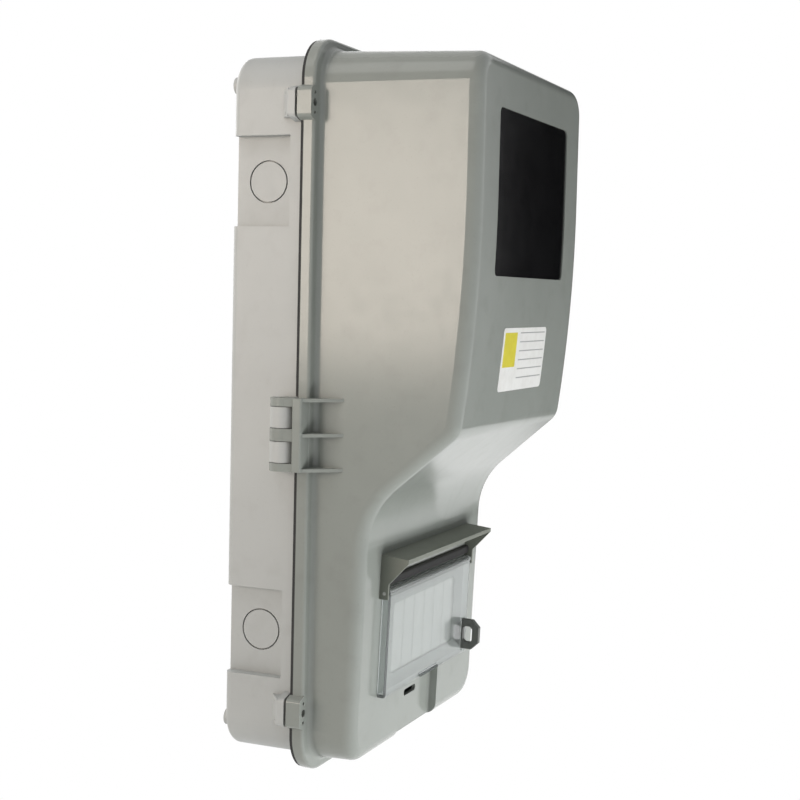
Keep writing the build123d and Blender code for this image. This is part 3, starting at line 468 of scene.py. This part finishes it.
@dataclass(frozen=True)
class Lamp:
    """Soft rectangular lamp, lengths in metres, power in watts and spread in degrees."""

    name: str
    place: Point
    aim: Point
    power: float
    width: float = 0.8
    height: float = 0.8
    colour: Colour = WHITE
    mirrored: bool = True
    spread: float = 180.0

    def build(self) -> None:
        """Stand the lamp out of the camera's sight and, if not mirrored, out of gloss and glass."""
        data = bpy.data.lights.new(self.name, "AREA")
        data.shape = "RECTANGLE"
        data.size = self.width
        data.size_y = self.height
        data.energy = self.power
        data.color = self.colour
        data.spread = math.radians(self.spread)
        obj = bpy.data.objects.new(self.name, data)
        bpy.context.scene.collection.objects.link(obj)
        look = Vector(self.aim) - Vector(self.place)
        obj.location = self.place
        obj.rotation_euler = look.to_track_quat("-Z", "Y").to_euler()
        obj.visible_camera = False
        obj.visible_glossy = obj.visible_transmission = self.mirrored


@dataclass(frozen=True)
class Studio:
    """Floor, surround, lamps and the camera at the photograph's angle.

    Lengths are in metres, the lens and its sensor in millimetres and angles in degrees.
    """

    floor_level: float = -0.42
    floor_half: float = 8.0
    fade_start: float = 0.25
    fade_end: float = 0.42
    floor_colour: Colour = shade(240, 240, 238)
    ambience: float = 0.35
    first_bounce: float = 0.5
    flag_place: Point = (1.0, -0.2, 0.17)
    flag_half_width: float = 0.38
    flag_half_height: float = 0.46
    flag_colour: Colour = shade(16, 16, 16)
    eye: Point = (-0.92786, -0.46647, 0.07149)
    yaw: float = 22.961
    pitch: float = 3.9615
    roll: float = 1.3658
    lens: float = 67.5
    sensor_width: float = 36.0
    clip_start: float = 0.01
    clip_end: float = 50.0
    lamps: tuple[Lamp, ...] = (
        Lamp("left_softbox", place=(-1.35, 0.6, 0.2), aim=(-0.1, 0.2, 0.2), power=2.5, width=0.9, height=0.46,
             colour=(1.0, 0.875, 0.76), spread=90.0),
        Lamp("low_front", place=(0.0, -0.62, -0.36), aim=(0.0, -0.09, -0.12), power=3.7, width=0.5,
             height=0.25, mirrored=False),
        Lamp("top_left", place=(-0.8, 0.1, 1.2), aim=(0.0, -0.1, 0.0), power=2.8),
        Lamp("right_fill", place=(1.0, 0.75, 0.6), aim=(0.1, -0.06, 0.0), power=7.0),
        Lamp("back_fill", place=(0.2, 1.5, 0.5), aim=(0.0, 0.0, 0.0), power=5.0),
    )

    def build(self) -> None:
        """Make the whole studio."""
        self.floor()
        self.flag()
        self.surround()
        for lamp in self.lamps:
            lamp.build()
        self.camera()

    def sheet(self, name: str, half_width: float, half_height: float, turn: Matrix) -> bpy.types.Object:
        """Flat studio sheet that isn't part of the box.

        Args:
            name: Name of the sheet.
            half_width: Half of its width.
            half_height: Half of its height.
            turn: Where it stands.

        Returns:
            The sheet's object.
        """
        bm = bmesh.new()
        bmesh.ops.create_grid(bm, x_segments=1, y_segments=1, size=1.0)
        bmesh.ops.scale(bm, verts=bm.verts, vec=(half_width, half_height, 1.0))
        bmesh.ops.transform(bm, verts=bm.verts, matrix=turn)
        mesh = bpy.data.meshes.new(name)
        bm.to_mesh(mesh)
        bm.free()
        obj = bpy.data.objects.new(name, mesh)
        bpy.context.scene.collection.objects.link(obj)
        return obj

    def floor(self) -> None:
        """Pale floor that takes the shadow near the box and runs out to plain white."""
        place = Matrix.Translation((0.0, 0.0, self.floor_level))
        floor = self.sheet("floor", self.floor_half, self.floor_half, place)
        floor.data.materials.append(self.floor_paint())

    def flag(self) -> None:
        """Black card on the right, out of the camera's sight, that keeps the window's reflection deep."""
        turn = Matrix.Translation(self.flag_place) @ Matrix.Rotation(math.radians(-90.0), 4, "Y")
        card = self.sheet("flag", self.flag_half_height, self.flag_half_width, turn)
        tree = Tree("flag_cloth")
        tree.show(tree.add("ShaderNodeBsdfDiffuse", Color=self.flag_colour).outputs[0])
        card.data.materials.append(tree.material)
        card.visible_camera = False

    def floor_paint(self) -> bpy.types.Material:
        """Matt pale paint that is seen as white further away from the box.

        Returns:
            The floor's material.
        """
        tree = Tree("floor_paint")
        reach = tree.add("ShaderNodeVectorMath", operation="LENGTH")
        tree.join(tree.place, reach.inputs[0])
        far = tree.spread(reach.outputs["Value"], 0.0, 1.0, start=self.fade_start, end=self.fade_end)
        share = tree.add("ShaderNodeMath", operation="MULTIPLY")
        tree.join(self.seen(tree.nodes, tree.links), share.inputs[0])
        tree.join(far, share.inputs[1])
        matt = tree.add("ShaderNodeBsdfDiffuse", Color=self.floor_colour)
        white = tree.add("ShaderNodeEmission", Color=WHITE)
        tree.mix(share.outputs[0], matt.outputs[0], white.outputs[0])
        return tree.material

    def seen(self, nodes: bpy.types.Nodes, links: bpy.types.NodeLinks) -> bpy.types.NodeSocket:
        """Test for rays that look at the background from the eye, a gloss or a clear piece, not a matt one.

        Args:
            nodes: Nodes of the tree that tests.
            links: Links of that tree.

        Returns:
            An output that is 1 for such rays.
        """
        path = nodes.new("ShaderNodeLightPath")
        found = path.outputs["Is Camera Ray"]
        for kind in ("Is Glossy Ray", "Is Transmission Ray"):
            either = nodes.new("ShaderNodeMath")
            either.operation = "MAXIMUM"
            links.new(found, either.inputs[0])
            links.new(path.outputs[kind], either.inputs[1])
            found = either.outputs[0]
        direct = nodes.new("ShaderNodeMath")
        direct.operation = "LESS_THAN"
        direct.inputs[1].default_value = self.first_bounce
        links.new(path.outputs["Diffuse Depth"], direct.inputs[0])
        both = nodes.new("ShaderNodeMath")
        both.operation = "MULTIPLY"
        links.new(found, both.inputs[0])
        links.new(direct.outputs[0], both.inputs[1])
        return both.outputs[0]

    def surround(self) -> None:
        """Even pale surround: plain white to the eye, softer as a light."""
        world = bpy.data.worlds.new("surround")
        bpy.context.scene.world = world
        world.use_nodes = True
        nodes, links = world.node_tree.nodes, world.node_tree.links
        nodes.clear()
        out = nodes.new("ShaderNodeOutputWorld")
        mix = nodes.new("ShaderNodeMixShader")
        links.new(self.seen(nodes, links), mix.inputs[0])
        for socket, strength in zip(mix.inputs[1:], (self.ambience, 1.0)):
            glow = nodes.new("ShaderNodeBackground")
            glow.inputs["Color"].default_value = (*WHITE, 1.0)
            glow.inputs["Strength"].default_value = strength
            links.new(glow.outputs[0], socket)
        links.new(mix.outputs[0], out.inputs["Surface"])

    def camera(self) -> None:
        """Camera with the photograph's place, direction and lens."""
        yaw, pitch, roll = (math.radians(angle) for angle in (self.yaw, self.pitch, self.roll))
        level = Vector((math.cos(yaw), math.sin(yaw), 0.0))
        ahead = level * math.cos(pitch) - Vector((0.0, 0.0, math.sin(pitch)))
        right = Vector((math.sin(yaw), -math.cos(yaw), 0.0))
        up = right.cross(ahead)
        level_right = right * math.cos(roll) + up * math.sin(roll)
        level_up = up * math.cos(roll) - right * math.sin(roll)
        turn = Matrix((level_right, level_up, -ahead)).transposed()
        data = bpy.data.cameras.new("camera")
        data.lens = self.lens
        data.sensor_width = self.sensor_width
        data.clip_start = self.clip_start
        data.clip_end = self.clip_end
        obj = bpy.data.objects.new("camera", data)
        bpy.context.scene.collection.objects.link(obj)
        obj.matrix_world = Matrix.Translation(Vector(self.eye)) @ turn.to_4x4()
        bpy.context.scene.camera = obj


class Finishes:
    """Every finish of the box, made once and shared by its pieces."""

    def __init__(self) -> None:
        """Build the materials."""
        self.base = Moulding(
            "base_moulding", shade(190, 193, 192), shade(186, 189, 188), shade(152, 152, 148)).material()
        self.cover = Moulding(
            "cover_moulding", shade(149, 154, 149), shade(145, 150, 145), shade(115, 116, 111),
            roughness=0.16, wave=0.045, specular=0.49).material()
        # The hood's grey, darker than the cover's, is partly painted shade for the hood lying in shadow under
        # the housing.
        self.hood = Moulding(
            "hood_moulding", shade(120, 124, 115), shade(113, 117, 108), shade(76, 78, 72)).material()
        self.dark = Moulding(
            "dark_moulding", shade(98, 101, 98), shade(90, 93, 90), shade(66, 67, 65),
            roughness=0.36).material()
        self.strip = Moulding(
            "strip_moulding", shade(204, 205, 201), shade(198, 199, 195), shade(164, 164, 160)).material()
        self.plate = Moulding(
            "plate_moulding", shade(192, 194, 194), shade(184, 186, 186), shade(150, 150, 148)).material()
        self.blue = Moulding(
            "blue_moulding", shade(52, 92, 158), shade(46, 82, 146), shade(40, 64, 104)).material()
        self.green = Moulding(
            "green_moulding", shade(70, 128, 62), shade(62, 116, 55), shade(50, 86, 46)).material()
        self.rubber = Moulding(
            "gasket_rubber", shade(38, 38, 38), shade(30, 30, 30), shade(52, 51, 49), roughness=0.7,
            grain=0.0004).material()
        self.window = SmokedPane("smoked_pane", shade(20, 20, 22), shade(15, 15, 17)).material()
        self.flap = ClearMoulding(
            "clear_flap", shade(238, 241, 241), shade(233, 237, 237), shade(238, 240, 240),
            shade(206, 213, 212)).material()
        self.steel = PlatedMetal("plated_steel", shade(196, 197, 194), shade(168, 168, 164)).material()
        self.rail = PlatedMetal(
            "zinc_rail", shade(204, 204, 198), shade(184, 183, 172), roughness=0.38).material()
        self.brass = PlatedMetal("machined_brass", shade(214, 180, 104), shade(190, 152, 82)).material()
        self.label = {
            Print.STOCK: LabelStock("label_stock", shade(232, 233, 231), shade(222, 222, 219)).material(),
            Print.FIELD: LabelStock("label_yellow", shade(214, 204, 52), shade(204, 194, 50)).material(),
            Print.RULE: LabelStock("label_grey", shade(150, 152, 152), shade(162, 163, 162)).material(),
        }


@dataclass
class SubAssembly(ABC):
    """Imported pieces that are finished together."""

    finishes: Finishes

    @abstractmethod
    def plan(self) -> dict[bpy.types.Material, tuple[str, ...]]:
        """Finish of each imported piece."""

    def build(self) -> None:
        """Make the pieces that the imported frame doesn't hold; most assemblies have none."""

    def dress(self) -> None:
        """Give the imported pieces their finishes."""
        for material, names in self.plan().items():
            for name in names:
                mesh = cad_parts[name].data
                mesh.materials.clear()
                mesh.materials.append(material)
                LOG.info("dressed %s with %s", name, material.name)


class WallBase(SubAssembly):
    """Base tray with the parts of the closing that stay on it."""

    def plan(self) -> dict[bpy.types.Material, tuple[str, ...]]:
        """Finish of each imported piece."""
        return {
            self.finishes.base: ("base_tray",),
            self.finishes.steel: ("hinge_pin",),
            self.finishes.brass: ("threaded_inserts",),
        }


class MeterBay(SubAssembly):
    """Plate that carries the meter."""

    def plan(self) -> dict[bpy.types.Material, tuple[str, ...]]:
        """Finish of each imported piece."""
        return {
            self.finishes.plate: ("meter_plate",),
            self.finishes.steel: ("meter_plate_screws",),
        }


class BreakerBay(SubAssembly):
    """Rail and terminal bars for the breakers."""

    def plan(self) -> dict[bpy.types.Material, tuple[str, ...]]:
        """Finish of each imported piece."""
        return {
            self.finishes.rail: ("din_rail",),
            self.finishes.brass: ("neutral_bar", "earth_bar"),
            self.finishes.blue: ("neutral_bar_feet",),
            self.finishes.green: ("earth_bar_feet",),
            self.finishes.steel: ("din_rail_screws", "neutral_bar_screws", "earth_bar_screws"),
        }


@dataclass
class FrontCover(SubAssembly):
    """Hinged cover with its gasket, closing screws and front label; lengths in metres."""

    front_depth: float = 0.1637
    bow_radius: float = 1.05
    bow_start: float = 0.134
    label_left: float = -0.042
    label_right: float = 0.0445
    label_low: float = 0.0128
    label_high: float = 0.0531
    label_corner: float = 0.003
    corner_segments: int = 6
    label_lift: float = 0.00004
    label_film: float = 0.00016
    bow_step: float = 0.002
    field_inset: float = 0.003
    field_width: float = 0.024
    field_height: float = 0.022
    rule_left: float = -0.009
    rule_height: float = 0.0007
    rule_pitch: float = 0.0058
    rule_count: int = 6

    def plan(self) -> dict[bpy.types.Material, tuple[str, ...]]:
        """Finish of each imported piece."""
        return {
            self.finishes.cover: ("front_cover",),
            self.finishes.rubber: ("cover_gasket",),
            self.finishes.steel: ("cover_screws",),
        }

    def bow(self, height: float) -> float:
        """Depth of the bowed upper front at a height."""
        drop = self.bow_start - height
        return self.front_depth - self.bow_radius + math.sqrt(self.bow_radius ** 2 - drop ** 2)

    def rules(self) -> list[float]:
        """Heights of the lower edges of the label's printed rules."""
        first = self.label_high - self.field_inset - self.rule_height
        return [first - step * self.rule_pitch for step in range(self.rule_count)]

    def area(self, x: float, z: float) -> Print:
        """Printed area of the label at a point.

        Args:
            x: Place across the box.
            z: Height.

        Returns:
            The area that holds the point.
        """
        field_left = self.label_left + self.field_inset
        field_high = self.label_high - self.field_inset
        in_width = field_left < x < field_left + self.field_width
        if in_width and field_high - self.field_height < z < field_high:
            return Print.FIELD
        in_rule = any(low < z < low + self.rule_height for low in self.rules())
        if in_rule and self.rule_left < x < self.label_right - self.field_inset:
            return Print.RULE
        return Print.STOCK

    def cuts(self) -> list[tuple[Point, Point]]:
        """Planes that cut the label into its printed areas and into strips that follow the bow.

        Returns:
            A point and a normal for each plane.
        """
        field_left = self.label_left + self.field_inset
        field_high = self.label_high - self.field_inset
        across = [field_left, field_left + self.field_width, self.rule_left]
        across.append(self.label_right - self.field_inset)
        heights = [field_high, field_high - self.field_height]
        heights += [edge for low in self.rules() for edge in (low, low + self.rule_height)]
        strips = int((self.label_high - self.label_low) / self.bow_step)
        heights += [self.label_low + step * self.bow_step for step in range(1, strips + 1)]
        planes = [((x, 0.0, 0.0), (1.0, 0.0, 0.0)) for x in across]
        return planes + [((0.0, 0.0, z), (0.0, 0.0, 1.0)) for z in heights]

    def build(self) -> None:
        """Lay the blank front label on the bowed front: film with a plain field and writing rules."""
        width, height = self.label_right - self.label_left, self.label_high - self.label_low
        middle = ((self.label_left + self.label_right) / 2, 0.0, (self.label_low + self.label_high) / 2)
        bm = bmesh.new()
        bmesh.ops.create_grid(bm, x_segments=1, y_segments=1, size=0.5)
        bmesh.ops.scale(bm, verts=bm.verts, vec=(width, height, 1.0))
        upright = Matrix.Rotation(math.pi / 2, 3, "X")
        bmesh.ops.rotate(bm, verts=bm.verts, cent=(0.0, 0.0, 0.0), matrix=upright)
        bmesh.ops.translate(bm, verts=bm.verts, vec=middle)
        bmesh.ops.bevel(
            bm, geom=bm.verts[:], offset=self.label_corner, affect="VERTICES",
            segments=self.corner_segments, profile=0.5, material=-1)
        for point, normal in self.cuts():
            bmesh.ops.bisect_plane(
                bm, geom=bm.verts[:] + bm.edges[:] + bm.faces[:], plane_co=point, plane_no=normal)
        for face in bm.faces:
            spot = face.calc_center_median()
            face.material_index = self.area(spot.x, spot.z).value
        for vert in bm.verts:
            vert.co.y = -self.bow(vert.co.z) - self.label_lift
        bmesh.ops.recalc_face_normals(bm, faces=bm.faces)
        bmesh.ops.solidify(bm, geom=bm.faces[:], thickness=-self.label_film)
        mesh = bpy.data.meshes.new("front_label")
        bm.to_mesh(mesh)
        bm.free()
        label = bpy.data.objects.new("front_label", mesh)
        bpy.context.scene.collection.objects.link(label)
        for part in Print:
            mesh.materials.append(self.finishes.label[part])
        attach(label, Body.COVER.value)
        LOG.info("laid front_label on the cover")


class MeterWindow(SubAssembly):
    """Smoked pane with its seal, clamping frame and screws."""

    def plan(self) -> dict[bpy.types.Material, tuple[str, ...]]:
        """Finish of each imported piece."""
        return {
            self.finishes.window: ("meter_window",),
            self.finishes.rubber: ("window_seal",),
            self.finishes.dark: ("window_frame",),
            self.finishes.steel: ("window_screws",),
        }


class BreakerFront(SubAssembly):
    """Hood, clear flap, blanking strip and sealing staple on the lower panel."""

    def plan(self) -> dict[bpy.types.Material, tuple[str, ...]]:
        """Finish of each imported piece."""
        return {
            self.finishes.hood: ("breaker_hood",),
            # The dark rubber seal under the hood is partly painted shade: a dark strip where the hood shades
            # the panel.
            self.finishes.rubber: ("hood_seal",),
            self.finishes.flap: ("breaker_flap",),
            self.finishes.strip: ("blanking_strip",),
            self.finishes.dark: ("seal_staple",),
            self.finishes.steel: ("hood_screws", "flap_pin", "staple_clip"),
        }


def main() -> None:
    """Build the studio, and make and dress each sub-assembly."""
    logging.basicConfig(level=logging.INFO, format="%(message)s")
    bpy.context.scene.view_settings.view_transform = "Standard"
    Studio().build()
    finishes = Finishes()
    for kind in (WallBase, MeterBay, BreakerBay, FrontCover, MeterWindow, BreakerFront):
        assembly = kind(finishes)
        assembly.build()
        assembly.dress()


if __name__ == "__main__":
    main()
